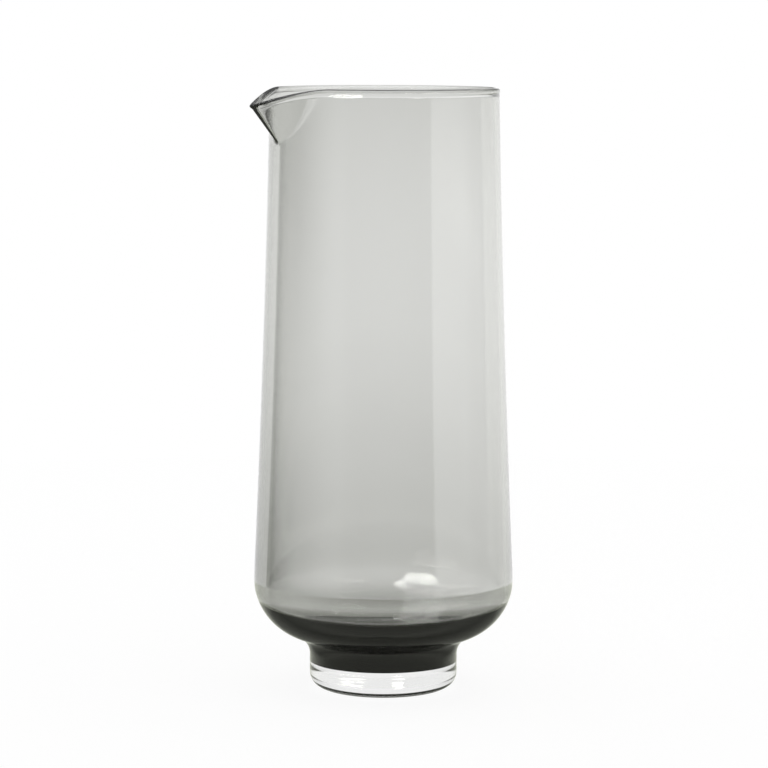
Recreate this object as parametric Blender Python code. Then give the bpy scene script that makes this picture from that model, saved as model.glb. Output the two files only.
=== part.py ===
"""Carafe of mouth-blown glass, in three pieces fused one on the other while hot.

A smoked bowl with a pulled pouring lip stands on a solid smoked stem, and the stem
on a clear foot. Metres, +Z up. The origin is the middle of the foot's flat
underside, and the lip points along -X.
"""

import math

import bmesh
import bpy

# Foot: a clear puck with a rounded lower edge
STEM_RADIUS = 0.0295
FOOT_SIDE = 0.0040
FOOT_EDGE_HEIGHT = 0.0070
FOOT_EDGE_REACH = 0.0090
FOOT_EDGE_FULLNESS = 2.3

# Stem: a straight collar that flares in a cove towards the bowl
STEM_STRAIGHT = 0.0025
STEM_FLARE = 0.0043
COVE_RADIUS = 0.0080

# Bowl, outside
BODY_RADIUS = 0.0519
SHOULDER_RADIUS = 0.0245
WALL_HEIGHT = 0.1954
WALL_BOW = 0.0006
RIM_RADIUS = 0.0454

# Bowl, inside: a dished bottom, and a wall that is thinnest halfway up
BOTTOM_THICKNESS = 0.0065
DISH_HEIGHT = 0.0158
DISH_FULLNESS = 2.55
SHOULDER_WALL = 0.0031
RIM_WALL = 0.0026
WALL_THINNING = 0.0010

# Bead melted round the rim
RIM_BEAD = 0.0029
RIM_ROLL = 0.0004

# Pouring lip, drawn out of the rim
LIP_REACH = 0.0128
LIP_DROP = 0.0069
LIP_DEPTH = 0.0220
LIP_CURVE = 1.6

# The pieces are fused: this is the gap left between their faces
WELD_GAP = 0.0003

# How finely the round shapes are divided
TURN_STEPS = 72
ROUND_STEPS = 7
DISH_STEPS = 12
SHOULDER_STEPS = 9
WALL_STEPS = 6
LIP_STEPS = 7
BEAD_STEPS = 8


def spaced(start, end, steps):
    """Values from start to end in equal steps, both ends included."""
    return [start + (end - start) * i / steps for i in range(steps + 1)]


def arc(centre_r, centre_z, radius, start, end, steps):
    """Profile points on an arc, by angle in radians from the outward direction."""
    return [
        (centre_r + radius * math.cos(angle), centre_z + radius * math.sin(angle))
        for angle in spaced(start, end, steps)
    ]


def full_round(start, end, fullness, steps):
    """Profile points on a quarter round that leaves its start level and ends upright.

    A fullness of 2 makes a quarter ellipse, and a higher one fills the corner more.
    """
    points = []
    for angle in spaced(0, math.pi / 2, steps):
        along = math.sin(angle) ** (2 / fullness)
        up = 1 - math.cos(angle) ** (2 / fullness)
        points.append((start[0] + (end[0] - start[0]) * along,
                       start[1] + (end[1] - start[1]) * up))
    return points


def cove_radius(height):
    """Radius of the cove between stem and bowl, at a height above where it starts."""
    return STEM_RADIUS + COVE_RADIUS - math.sqrt(COVE_RADIUS**2 - height**2)


def foot_profile():
    """Half section of the foot, from the middle of its top round to its underside."""
    top = FOOT_SIDE + FOOT_EDGE_HEIGHT
    edge = full_round((STEM_RADIUS - FOOT_EDGE_REACH, 0), (STEM_RADIUS, FOOT_EDGE_HEIGHT),
                      FOOT_EDGE_FULLNESS, ROUND_STEPS)
    return [(0, top), (STEM_RADIUS, top)] + edge[::-1] + [(0, 0)]


def stem_profile():
    """Half section of the stem, from the middle of its top round to its underside."""
    flare = [
        (cove_radius(height), STEM_STRAIGHT + height)
        for height in spaced(STEM_FLARE, 0, ROUND_STEPS)
    ]
    return [(0, STEM_STRAIGHT + STEM_FLARE)] + flare + [(STEM_RADIUS, 0), (0, 0)]


class Bowl:
    """Places on the bowl, as heights above its fused underside."""

    cove_z = -(STEM_FLARE + WELD_GAP)
    cove_r = STEM_RADIUS + COVE_RADIUS
    shoulder_r = BODY_RADIUS - SHOULDER_RADIUS
    shoulder_z = cove_z + math.sqrt(
        (SHOULDER_RADIUS + COVE_RADIUS) ** 2 - (cove_r - shoulder_r) ** 2
    )
    rim_z = shoulder_z + WALL_HEIGHT
    bead_z = rim_z - RIM_BEAD / 2
    bead_r = RIM_RADIUS + RIM_ROLL - RIM_BEAD / 2
    wall_top = rim_z - 1.5 * RIM_BEAD
    lip_start = rim_z - LIP_DEPTH
    # The wall leans in from the shoulder by this angle
    lean = math.atan((BODY_RADIUS - RIM_RADIUS + 4 * WALL_BOW) / WALL_HEIGHT)
    wall_foot = shoulder_z + SHOULDER_RADIUS * math.sin(lean)
    wall_foot_r = shoulder_r + SHOULDER_RADIUS * math.cos(lean)
    dish_top = BOTTOM_THICKNESS + DISH_HEIGHT

    @classmethod
    def outside(cls, z):
        """Radius of the wall's outer face, a cone that bows in a little."""
        t = (z - cls.wall_foot) / (cls.rim_z - cls.wall_foot)
        straight = cls.wall_foot_r + (RIM_RADIUS - cls.wall_foot_r) * t
        return straight - 4 * WALL_BOW * t * (1 - t)

    @classmethod
    def inside(cls, z):
        """Radius of the wall's inner face."""
        t = (z - cls.dish_top) / (cls.rim_z - cls.dish_top)
        glass = SHOULDER_WALL + (RIM_WALL - SHOULDER_WALL) * t
        return cls.outside(z) - glass + 4 * WALL_THINNING * t * (1 - t)


def bowl_profile():
    """Half section of the bowl: dish, inner wall, rim, outer wall, shoulder, cove."""
    dish = full_round((0, BOTTOM_THICKNESS), (Bowl.inside(Bowl.dish_top), Bowl.dish_top),
                      DISH_FULLNESS, DISH_STEPS)
    beside_lip = spaced(Bowl.lip_start, Bowl.wall_top, LIP_STEPS)
    inner = [
        (Bowl.inside(z), z)
        for z in spaced(Bowl.dish_top, Bowl.lip_start, WALL_STEPS)[1:-1] + beside_lip
    ]
    bead = arc(Bowl.bead_r, Bowl.bead_z, RIM_BEAD / 2,
               math.radians(225), math.radians(-45), BEAD_STEPS)
    outer = [
        (Bowl.outside(z), z)
        for z in beside_lip[::-1] + spaced(Bowl.lip_start, Bowl.wall_foot, WALL_STEPS)[1:-1]
    ]
    cove_turn = math.atan2(Bowl.shoulder_z - Bowl.cove_z, Bowl.shoulder_r - Bowl.cove_r)
    shoulder = arc(Bowl.shoulder_r, Bowl.shoulder_z, SHOULDER_RADIUS,
                   Bowl.lean, cove_turn - math.pi, SHOULDER_STEPS)
    cove_end = math.pi - math.asin((STEM_FLARE + WELD_GAP) / COVE_RADIUS)
    cove = arc(Bowl.cove_r, Bowl.cove_z, COVE_RADIUS,
               cove_turn, cove_end, ROUND_STEPS // 2)[1:]
    return dish + inner + bead + outer + shoulder + cove + [(0, 0)]


def pull_lip(point):
    """Draw a point of the upper wall out and down into the pouring lip.

    Seen from above, the lip's sides run straight from its tip to touch the round rim.
    """
    rise = min((point.z - Bowl.lip_start) / LIP_DEPTH, 1)
    if rise <= 0:
        return
    spread = math.acos(RIM_RADIUS / (RIM_RADIUS + LIP_REACH * rise))
    to_edge = spread - abs(math.atan2(point.y, -point.x))
    if to_edge <= 0:
        return
    run = math.tan(to_edge) / math.tan(spread)
    point.xy = point.xy / math.cos(to_edge)
    point.z -= LIP_DROP * rise * run**LIP_CURVE


def turned(name, profile, material, height, parent, shape=None):
    """Turn a half section about the Z axis into a closed piece standing at a height."""
    bm = bmesh.new()
    verts = [bm.verts.new((r, 0, z)) for r, z in profile]
    edges = [bm.edges.new(pair) for pair in zip(verts, verts[1:])]
    bmesh.ops.spin(bm, geom=verts + edges, cent=(0, 0, 0), axis=(0, 0, 1),
                   angle=2 * math.pi, steps=TURN_STEPS, use_merge=True)
    bmesh.ops.remove_doubles(bm, verts=bm.verts, dist=1e-6)
    if shape:
        for vert in bm.verts:
            shape(vert.co)
    bmesh.ops.recalc_face_normals(bm, faces=bm.faces)
    mesh = bpy.data.meshes.new(name)
    bm.to_mesh(mesh)
    bm.free()
    mesh.shade_smooth()
    mesh.set_sharp_from_angle(angle=math.radians(35))
    mesh.materials.append(material)
    piece = bpy.data.objects.new(name, mesh)
    piece.location.z = height
    piece.parent = parent
    bpy.context.collection.objects.link(piece)
    return piece


def glass(name, colour):
    """Clear or tinted blown glass."""
    material = bpy.data.materials.new(name)
    material.use_nodes = True
    shader = material.node_tree.nodes["Principled BSDF"]
    shader.inputs["Base Color"].default_value = (*colour, 1)
    shader.inputs["Roughness"].default_value = 0.02
    shader.inputs["Metallic"].default_value = 0
    shader.inputs["IOR"].default_value = 1.5
    shader.inputs["Transmission Weight"].default_value = 1
    return material


for old in list(bpy.data.objects):
    bpy.data.objects.remove(old)

carafe = bpy.data.objects.new("carafe", None)
bpy.context.collection.objects.link(carafe)

stem_base = FOOT_SIDE + FOOT_EDGE_HEIGHT + WELD_GAP
bowl_base = stem_base + STEM_STRAIGHT + STEM_FLARE + WELD_GAP

turned("foot", foot_profile(), glass("clear_glass", (0.93, 0.94, 0.93)), 0, carafe)
turned("stem", stem_profile(), glass("smoked_stem_glass", (0.03, 0.03, 0.02)),
       stem_base, carafe)
turned("bowl", bowl_profile(), glass("smoked_bowl_glass", (0.67, 0.67, 0.64)),
       bowl_base, carafe, shape=pull_lip)
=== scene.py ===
import math

import bmesh
import bpy
from mathutils import Matrix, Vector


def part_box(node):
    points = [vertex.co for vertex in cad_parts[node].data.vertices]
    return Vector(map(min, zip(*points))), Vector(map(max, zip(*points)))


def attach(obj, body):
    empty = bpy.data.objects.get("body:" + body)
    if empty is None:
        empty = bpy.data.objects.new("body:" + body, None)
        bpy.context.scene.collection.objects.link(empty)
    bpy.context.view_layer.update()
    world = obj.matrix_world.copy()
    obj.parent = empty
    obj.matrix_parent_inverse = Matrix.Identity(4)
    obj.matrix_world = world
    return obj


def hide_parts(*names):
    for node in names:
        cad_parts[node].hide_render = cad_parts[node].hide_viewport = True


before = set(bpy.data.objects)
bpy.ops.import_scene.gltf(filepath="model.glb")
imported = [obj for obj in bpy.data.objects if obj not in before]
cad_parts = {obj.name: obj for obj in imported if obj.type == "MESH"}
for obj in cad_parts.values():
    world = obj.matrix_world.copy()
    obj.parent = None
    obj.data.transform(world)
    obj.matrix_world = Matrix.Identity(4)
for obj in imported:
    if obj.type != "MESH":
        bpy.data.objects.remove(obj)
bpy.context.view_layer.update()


# The foot is a puck of clear glass, gathered by itself and fused under the stem while
# hot. Fire has rounded its lower edge, and its underside is ground flat to stand on.
foot_low, foot_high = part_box("foot")
stem_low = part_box("stem")[0]
foot_radius = foot_high.x
foot_edge_height = 0.0070
foot_edge_reach = 0.0090
foot_edge_fullness = 2.3
fused_z = stem_low.z
fused_gap = 0.00005
foot_edge_steps = 20
foot_turn_steps = 200
foot_clearness = 0.88


class HalfSection:
    """Half the section of a turned piece, drawn with a pen in the XZ plane."""

    def __init__(self, r, z):
        self.bm = bmesh.new()
        self.pen = self.bm.verts.new((r, 0, z))

    def line(self, r, z):
        """Draw straight to a point."""
        start = self.pen
        self.pen = self.bm.verts.new((r, 0, z))
        self.bm.edges.new((start, self.pen))

    def arc(self, r, z, turn, steps):
        """Swing the pen about a centre, by an angle that is positive from X to Z."""
        swung = bmesh.ops.spin(
            self.bm, geom=[self.pen], cent=(r, 0, z), axis=(0, -1, 0), angle=turn, steps=steps
        )
        self.pen = swung["geom_last"][0]

    def quarter(self, r, z, fullness, steps, level_first):
        """Draw a quarter round to a point. Fullness 2 is an ellipse, more fills the corner."""
        start = self.pen.co.copy()
        for step in range(1, steps + 1):
            swing = math.pi / 2 * step / steps
            fast = math.sin(swing) ** (2 / fullness)
            slow = 1 - math.cos(swing) ** (2 / fullness)
            along, up = (fast, slow) if level_first else (slow, fast)
            self.line(start.x + (r - start.x) * along, start.z + (z - start.z) * up)

    def bow(self, r, z, hollow, steps):
        """Draw to a point along a slack arc that stands hollow inside the straight line."""
        rise = self.pen.co.copy()
        rise.x, rise.z = r - rise.x, z - rise.z
        chord = math.hypot(rise.x, rise.z)
        radius = (chord**2 / 4 + hollow**2) / (2 * hollow)
        off = (radius - hollow) / chord
        side = 1 if rise.z > 0 else -1
        middle_r, middle_z = r - rise.x / 2, z - rise.z / 2
        self.arc(
            middle_r + side * off * rise.z,
            middle_z - side * off * rise.x,
            -side * 2 * math.asin(chord / 2 / radius),
            steps,
        )

    def turn(self, *sectors):
        """Turn the section about Z through sectors of (angle, steps) that make a circle."""
        seam = 2e-6
        moving = self.bm.verts[:] + self.bm.edges[:]
        for angle, steps in sectors:
            spun = bmesh.ops.spin(
                self.bm, geom=moving, cent=(0, 0, 0), axis=(0, 0, 1), angle=angle, steps=steps
            )
            moving = spun["geom_last"]
        bmesh.ops.remove_doubles(self.bm, verts=self.bm.verts, dist=seam)
        return self.bm


def finished(bm, name, *materials):
    """Make a smooth piece of a mesh, with its faces out and its corners crisp."""
    crisp_corner = math.radians(50)
    bmesh.ops.recalc_face_normals(bm, faces=bm.faces)
    mesh = bpy.data.meshes.new(name)
    bm.to_mesh(mesh)
    bm.free()
    mesh.shade_smooth()
    mesh.set_sharp_from_angle(angle=crisp_corner)
    for material in materials:
        mesh.materials.append(material)
    piece = bpy.data.objects.new(name, mesh)
    bpy.context.collection.objects.link(piece)
    return piece


class Wire:
    """A shader socket that sums and products are written with."""

    def __init__(self, tree, socket=None):
        self.tree = tree
        self.socket = socket

    def node(self, kind, settings=None, sockets=None, out=0):
        """Add a node: its settings first, then the values or links of its sockets."""
        made = self.tree.nodes.new("ShaderNode" + kind)
        for name, value in (settings or {}).items():
            if name == "stops":
                ramp = made.color_ramp.elements
                while len(ramp) < len(value):
                    ramp.new(1)
                for stop, (place, grey) in zip(ramp, value):
                    stop.position = place
                    stop.color = (grey, grey, grey, 1)
            else:
                setattr(made, name, value)
        for name, value in (sockets or {}).items():
            self.feed(made.inputs[name], value)
        return Wire(self.tree, made.outputs[out])

    def feed(self, socket, value):
        """Link a wire to a socket, or set the socket's value."""
        if isinstance(value, Wire):
            self.tree.links.new(value.socket, socket)
        else:
            socket.default_value = value

    def maths(self, operation, first, second):
        """Add a Math node for two values or wires."""
        return self.node("Math", {"operation": operation}, {0: first, 1: second})

    def __add__(self, other):
        return self.maths("ADD", self, other)

    def __mul__(self, other):
        return self.maths("MULTIPLY", self, other)

    def __sub__(self, other):
        return self.maths("SUBTRACT", self, other)

    def __rsub__(self, other):
        return self.maths("SUBTRACT", other, self)

    __radd__ = __add__
    __rmul__ = __mul__


def blown_glass(name, clearness):
    """Glass whose surface keeps the faint drawn waves of hand work."""
    waves_per_metre = (90, 90, 14)
    wave_height = 0.000006
    wiped_roughness = 0.008
    glass_bending = 1.5
    material = bpy.data.materials.new(name)
    material.use_nodes = True
    tree = material.node_tree
    wire = Wire(tree)
    place = wire.node("TexCoord", out="Object")
    drawn = wire.node("Mapping", sockets={"Vector": place, "Scale": waves_per_metre})
    wave = wire.node("TexNoise", sockets={"Vector": drawn, "Scale": 1, "Detail": 2}, out="Fac")
    bump = wire.node(
        "Bump", sockets={"Strength": 1, "Distance": wave_height, "Height": wave}, out="Normal"
    )
    wiped = wire.node("TexNoise", sockets={"Vector": place, "Scale": 40, "Detail": 3}, out="Fac")
    shader = tree.nodes["Principled BSDF"].inputs
    shader["Base Color"].default_value = (clearness, clearness, clearness, 1)
    shader["IOR"].default_value = glass_bending
    shader["Transmission Weight"].default_value = 1
    wire.feed(shader["Roughness"], wiped * wiped_roughness)
    wire.feed(shader["Normal"], bump)
    return material


clear_glass = blown_glass("clear_glass", foot_clearness)

# Glass fused to glass has no surface between, so light goes straight through the top face.
# Seen steeply, the face glows pale white: painted light that brightens the foot from inside.
glowing_fused_face = bpy.data.materials.new("glowing_fused_face")
glowing_fused_face.use_nodes = True
glowing_fused_face.cycles.emission_sampling = "NONE"
fused_shader = glowing_fused_face.node_tree.nodes["Principled BSDF"].inputs
fused_shader["Base Color"].default_value = (1, 1, 1, 1)
fused_shader["Roughness"].default_value = 0
fused_shader["IOR"].default_value = 1
fused_shader["Transmission Weight"].default_value = 1
fused_shader["Emission Strength"].default_value = 1
painted_glow = Wire(glowing_fused_face.node_tree)
slant = painted_glow.node("LayerWeight", sockets={"Blend": 0.5}, out="Facing")
# Painted glow: the face emits pale white light where it is seen steeply
painted_glow.feed(
    fused_shader["Emission Color"],
    painted_glow.node("ValToRGB", {"stops": [(0.26, 0.84), (0.32, 0)]}, {"Fac": slant}),
)

section = HalfSection(0, fused_z - fused_gap)
section.line(foot_radius, fused_z - fused_gap)
section.line(foot_radius, foot_edge_height)
section.quarter(foot_radius - foot_edge_reach, foot_low.z, foot_edge_fullness, foot_edge_steps, False)
section.line(0, foot_low.z)
bm = section.turn((2 * math.pi, foot_turn_steps))
for face in bm.faces:
    if face.calc_center_median().z > fused_z - 2 * fused_gap:
        face.material_index = 1
foot = finished(bm, "clear_foot", clear_glass, glowing_fused_face)
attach(foot, "root")
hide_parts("foot")


# The vessel is one gather of smoked glass: blown for the bowl, left solid for the stem.
# The rim is melted round, and the pouring lip is pulled out of it with a tool while soft,
# so its sides run straight from the tip to touch the round rim.
bowl_low, bowl_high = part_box("bowl")
body_radius = bowl_high.y
shoulder_radius = 0.0245
cove_radius = 0.0080
cove_z = 0.0138
rim_z = bowl_high.z
rim_radius = 0.0454
rim_wall = 0.0022
shoulder_wall = 0.0031
rim_bead = 0.0027
rim_roll = 0.0003
rim_fillet = 0.0003
wall_bow = 0.0006
wall_thinning = 0.0008
floor_thickness = 0.0065
dish_z = bowl_low.z + floor_thickness
dish_height = 0.0158
dish_fullness = 2.55
lip_reach = 0.0133
lip_drop = 0.0069
lip_depth = 0.0220
lip_curve = 1.6
lip_start = rim_z - lip_depth
lip_margin = 0.005
lip_sector = math.radians(90)
keel_round = math.radians(1.2)
keel_start = 0.05
dish_steps = 48
wall_steps = 40
bead_steps = 28
shoulder_steps = 30
cove_steps = 12
lip_cuts = 3
lip_steps = 120
back_steps = 180
smoke_colour = (0.325, 0.335, 0.285, 1)
smoke_density = 226

cove_r = foot_radius + cove_radius
shoulder_r = body_radius - shoulder_radius
shoulder_z = cove_z + math.sqrt((shoulder_radius + cove_radius) ** 2 - (cove_r - shoulder_r) ** 2)
underside_turn = math.atan2(shoulder_z - cove_z, shoulder_r - cove_r)
wall_lean = math.atan((body_radius - rim_radius + 4 * wall_bow) / (rim_z - shoulder_z))
bead_r = rim_radius + rim_roll - rim_bead / 2
bead_z = rim_z - rim_bead / 2
# Turn of the bead below level, where it meets the wall inside and outside
inner_meet = math.acos((bead_r - rim_radius + rim_wall) / (rim_bead / 2))
outer_meet = math.acos((rim_radius - bead_r) / (rim_bead / 2))
wall_top = bead_z - math.sin(inner_meet) * rim_bead / 2 - rim_fillet
bead_ease = rim_fillet / rim_bead

section = HalfSection(0, dish_z)
section.quarter(body_radius - shoulder_wall, dish_z + dish_height, dish_fullness, dish_steps, True)
section.bow(rim_radius - rim_wall, wall_top, wall_bow - wall_thinning, wall_steps)
section.line(
    bead_r - math.cos(inner_meet - bead_ease) * rim_bead / 2,
    bead_z - math.sin(inner_meet - bead_ease) * rim_bead / 2,
)
section.arc(bead_r, bead_z, -math.pi - inner_meet - outer_meet + 2 * bead_ease, bead_steps)
section.line(rim_radius, wall_top)
section.bow(
    shoulder_r + shoulder_radius * math.cos(wall_lean),
    shoulder_z + shoulder_radius * math.sin(wall_lean),
    wall_bow,
    wall_steps,
)
section.arc(shoulder_r, shoulder_z, underside_turn - math.pi - wall_lean, shoulder_steps)
section.arc(cove_r, cove_z, math.pi - underside_turn, cove_steps)
section.line(foot_radius, fused_z)
section.line(0, fused_z)

# The wall gets finer steps upwards where the lip is pulled
beside_lip = [
    edge
    for edge in section.bm.edges
    if min(vert.co.z for vert in edge.verts) > lip_start - lip_margin
    and max(vert.co.z for vert in edge.verts) < wall_top + 0.0001
]
bmesh.ops.subdivide_edges(section.bm, edges=beside_lip, cuts=lip_cuts)

# The half section starts beside the lip, and the lip gets the finer steps
bmesh.ops.rotate(
    section.bm,
    cent=(0, 0, 0),
    matrix=Matrix.Rotation(math.pi - lip_sector / 2, 3, "Z"),
    verts=section.bm.verts,
)
bm = section.turn((lip_sector, lip_steps), (2 * math.pi - lip_sector, back_steps))

# The lip's sides leave the rim as tangents and meet in a rounded keel, which droops to the tip
for vert in bm.verts:
    rise = min((vert.co.z - lip_start) / lip_depth, 1)
    if rise > 0:
        drawn_out = lip_reach * (math.hypot(rise, keel_start) - keel_start)
        spread = math.acos(rim_radius / (rim_radius + drawn_out))
        angle = math.hypot(math.atan2(vert.co.y, -vert.co.x), keel_round)
        to_edge = spread - angle
        if to_edge > 0:
            run = math.tan(to_edge) / math.tan(spread)
            vert.co.xy = vert.co.xy / math.cos(to_edge)
            vert.co.z -= lip_drop * rise * run**lip_curve

smoked_glass = blown_glass("smoked_glass", 1)
smoke = Wire(smoked_glass.node_tree)
smoke.feed(
    smoked_glass.node_tree.nodes["Material Output"].inputs["Volume"],
    smoke.node("VolumeAbsorption", sockets={"Color": smoke_colour, "Density": smoke_density}),
)

vessel = finished(bm, "smoked_vessel", smoked_glass)
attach(vessel, "root")
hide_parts("bowl", "stem")


# The floor is a plain pale table top of matt white board. It takes the carafe's soft shadow,
# and shows itself almost as white as the studio behind it.
floor_radius = 0.7
floor_white = (0.95, 0.95, 0.95, 1)
floor_glow = 0.9
bm = bmesh.new()
bmesh.ops.create_circle(bm, cap_ends=True, radius=floor_radius, segments=96)
table_white = bpy.data.materials.new("table_white")
table_white.use_nodes = True
table_shader = table_white.node_tree.nodes["Principled BSDF"]
table_shader.inputs["Base Color"].default_value = floor_white
table_shader.inputs["Roughness"].default_value = 0.9
table_shader.inputs["Specular IOR Level"].default_value = 0.1
lit = Wire(table_white.node_tree)
shaded = Wire(table_white.node_tree, table_shader.outputs[0])
bounced = lit.node("LightPath", out="Is Diffuse Ray")
glow = lit.node("Emission", sockets={"Strength": 1})
lit.feed(
    table_white.node_tree.nodes["Material Output"].inputs["Surface"],
    lit.node("MixShader", sockets={0: (1 - bounced) * floor_glow, 1: shaded, 2: glow}),
)
table = finished(bm, "table", table_white)
table.visible_glossy = False
table.visible_transmission = False


# The camera stands in front of the carafe with the lip on its left, a little above the rim,
# and far off, so that the sides are seen almost straight.
photo_turn = math.radians(-23)
camera_distance = 1.30
camera_height = 0.268
camera_tilt = math.radians(6.389)
camera_roll = math.radians(0.16)
camera_lens = 154.0
camera_data = bpy.data.cameras.new("camera")
camera_data.lens = camera_lens
camera_data.sensor_width = 36
camera_data.clip_start = 0.01
camera = bpy.data.objects.new("camera", camera_data)
camera.matrix_world = (
    Matrix.Rotation(photo_turn, 4, "Z")
    @ Matrix.Translation((0, -camera_distance, camera_height))
    @ Matrix.Rotation(math.pi / 2 - camera_tilt, 4, "X")
    @ Matrix.Rotation(camera_roll, 4, "Z")
)
bpy.context.collection.objects.link(camera)
bpy.context.scene.camera = camera


# The studio is white all round, for what is seen directly or through the glass. Mirrored in
# the glass it is a ring of walls with a pale backdrop behind, a bright ceiling and the table.
# Light that is mirrored inside the glass meets the same places in duller tones.
light_bounces = 24
scene = bpy.context.scene
scene.view_settings.view_transform = "Standard"
scene.cycles.max_bounces = light_bounces
scene.cycles.transmission_bounces = light_bounces
# Mirrored lamp light keeps its full strength
scene.cycles.sample_clamp_indirect = 0
studio = bpy.data.worlds.new("studio")
studio.use_nodes = True
scene.world = studio
sky = Wire(studio.node_tree)
way = sky.node("TexCoord", out="Generated")
facing = sky.node("Mapping", sockets={"Vector": way, "Rotation": (0, 0, math.pi / 2 - photo_turn)})
around = sky.node("TexGradient", {"gradient_type": "RADIAL"}, {"Vector": facing}, out="Fac")
height = sky.node("SeparateXYZ", sockets={"Vector": way}, out="Z")


def round_ring(*stops):
    """Tones at angles in degrees: 0 is towards the camera, and right of it is positive."""
    places = [(0.5 + degrees / 360, tone) for degrees, tone in stops]
    return sky.node("ValToRGB", {"stops": places}, {"Fac": around})


def at_heights(*stops):
    """Tones at heights, from -1 straight down to 1 straight up."""
    places = [(0.5 + 0.5 * rise, tone) for rise, tone in stops]
    return sky.node("ValToRGB", {"stops": places}, {"Fac": 0.5 + 0.5 * height})


def between(value, low, high, first, last):
    """Go from the first tone to the last while the value goes from low to high."""
    return sky.node(
        "MapRange",
        sockets={"Value": value, "From Min": low, "From Max": high, "To Min": first, "To Max": last},
    )


# Where a ray has been: mirrored, into the glass, or through two walls of it
glass_faces = sky.node("LightPath", out="Transmission Depth")
is_mirrored = sky.maths("GREATER_THAN", sky.node("LightPath", out="Glossy Depth"), 0.5)
from_inside = sky.maths("GREATER_THAN", glass_faces, 0.5)
through_two_walls = sky.maths("GREATER_THAN", glass_faces, 3.5)

# Where it goes: behind the carafe, down to the table or up to the ceiling
behind = round_ring((-180, 1), (-128, 1), (-100, 0), (100, 0), (130, 1))
under = between(height + 0.05 * from_inside * behind, -0.19, -0.172, 1, 0)
overhead = between(height - 0.25 * from_inside, 0.5, 0.6, 0, 1)

# The walls fade upwards, and are duller inside the glass. The backdrop keeps its tone.
wall_light = 5
dull_inside = 0.7
walls = wall_light * round_ring(
    (-180, 0.22),
    (-150, 0.22),
    (-128, 0.27),
    (-127, 0),
    (-118, 0),
    (-98, 0.09),
    (-78, 0.28),
    (-58, 0.53),
    (-38.5, 0.68),
    (-37.5, 0.62),
    (46, 0.60),
    (47, 0.94),
    (82, 0.92),
    (102, 0.75),
    (122, 0.46),
    (142, 0.31),
    (162, 0.25),
)
fading = between(height, -0.03, 0.07, 0, 0.25)
dimmed = (fading + from_inside * (dull_inside - fading)) * (1 - behind)

# A low pale screen stands on the table's left
screen_light = 1.4
screen_width = round_ring(
    (-125, 0), (-112, 0.42), (-98, 0.75), (-84, 0.93), (-62, 0.55), (-40, 0.2), (-20, 0)
)
screen_height = at_heights((-0.122, 0.2), (-0.104, 1), (-0.08, 1), (-0.02, 0))
screen = screen_light * screen_width * screen_height

# The ceiling ends above the backdrop in a dark gap
ceiling_light = 3.6
ceiling_inside = 0.4
gap_inside = 0.6
ceiling = ceiling_light + (ceiling_inside - ceiling_light) * from_inside
gap = between(height, 0.08, 0.25, 0, 0.75) * (behind * (1 - from_inside) + gap_inside * from_inside)

# The table is darker near the carafe, where the view goes down steeply
table_front = 0.55
table_inside = 0.6
table_back = between(height, -0.45, -0.165, 0.25, 0.9)
table_outer = behind * table_back + (1 - behind) * table_front
table_inner = table_inside * behind * (1 - through_two_walls)
table_tone = table_outer + from_inside * (table_inner - table_outer)

# Bent far up or down by two walls, the view passes the backdrop and darkens
far_bent = at_heights(
    (-0.86, 0), (-0.82, 0.9), (-0.62, 0.9), (-0.52, 0), (0.32, 0), (0.48, 0.8), (0.9, 0.8)
)
unseen = far_bent * behind * through_two_walls * (1 - is_mirrored)

ring = (walls * (1 - dimmed) + screen) * (1 - under) * (1 - overhead) + ceiling * overhead
mirrored = ring * (1 - gap) + table_tone * under
background = studio.node_tree.nodes["Background"].inputs
sky.feed(background["Strength"], 1 + is_mirrored * (mirrored - 1) - unseen)

# The table has a warm tint in the mirror of the glass
white = (1, 1, 1, 1)
table_tint = (0.97, 1, 0.87, 1)
sky.feed(
    background["Color"],
    sky.node("Mix", {"data_type": "RGBA"}, {0: is_mirrored * under, 6: white, 7: table_tint}, out=2),
)


# A soft box hangs overhead on the left. It shows only as a clean mirror image in the bowl,
# seen through one more wall or, a little softer, over the rim. It leaves the shadow alone.
box_width = 0.79
box_length = 1.9
box_distance = 1.5
box_turn = math.radians(-49)
box_lean = math.radians(40)
box_roll = math.radians(23)
box_radiance = 24
softer = 0.7
box_light = bpy.data.lights.new("soft_box", "AREA")
box_light.shape = "RECTANGLE"
box_light.size = box_width
box_light.size_y = box_length
box_light.energy = box_radiance * math.pi * box_width * box_length
box_light.use_nodes = True
shone = Wire(box_light.node_tree)
faces_passed = shone.node("LightPath", out="Transmission Depth")
bent_last = shone.node("LightPath", out="Is Transmission Ray")
through_wall = shone.maths("COMPARE", faces_passed, 4)
over_rim = shone.maths("COMPARE", faces_passed, 2) * (1 - bent_last)
shone.feed(box_light.node_tree.nodes["Emission"].inputs["Strength"], through_wall + softer * over_rim)
soft_box = bpy.data.objects.new("soft_box", box_light)
soft_box.matrix_world = (
    Matrix.Rotation(photo_turn + box_turn, 4, "Z")
    @ Matrix.Rotation(box_lean, 4, "X")
    @ Matrix.Rotation(box_roll, 4, "Z")
    @ Matrix.Translation((0, 0, box_distance))
)
soft_box.visible_camera = False
soft_box.visible_diffuse = False
bpy.context.collection.objects.link(soft_box)
